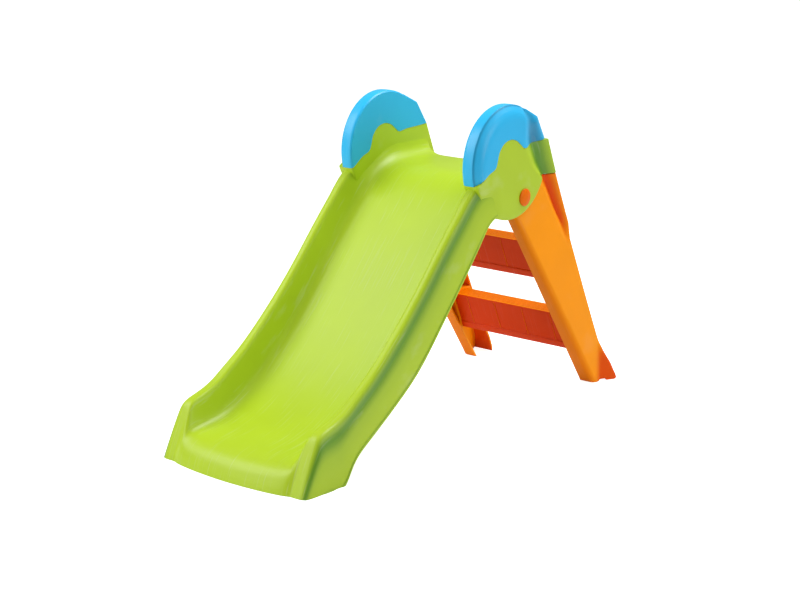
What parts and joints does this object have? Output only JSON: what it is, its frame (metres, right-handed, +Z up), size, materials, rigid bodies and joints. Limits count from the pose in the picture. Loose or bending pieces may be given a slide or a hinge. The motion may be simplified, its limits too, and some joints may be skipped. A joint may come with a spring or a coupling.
{
  "type": "toddler slide",
  "caption": "Folding toddler slide: moulded chute with rails and round ears, clip-on grip covers, and a stepped ladder that hinges under the chute.",
  "frame": {"origin": "on the ground, under the middle of the slide's overall box, ladder open", "axes": "+X across the slide (right as seen from the foot of the chute), -Y towards the foot of the chute, +Y towards the ladder, +Z up"},
  "size_m": [0.476, 1.237, 0.7808],
  "materials": {
    "green_plastic": "satin moulded",
    "blue_plastic": "satin moulded",
    "orange_plastic": "satin moulded"
  },
  "bodies": {
    "slide": {"slide_bed": "green_plastic", "grip_left": "blue_plastic", "grip_right": "blue_plastic", "pivot_pin_left": "orange_plastic", "pivot_pin_right": "orange_plastic"},
    "ladder": {"stile_left": "orange_plastic", "stile_right": "orange_plastic", "upper_step": "orange_plastic", "lower_step": "orange_plastic"}
  },
  "joints": [
    {"name": "ladder_fold", "type": "hinge", "parent": "slide", "child": "ladder", "pos_m": [0, 0.212, 0.55], "axis": [-1, 0, 0], "range_deg": [0, 76]}
  ]
}
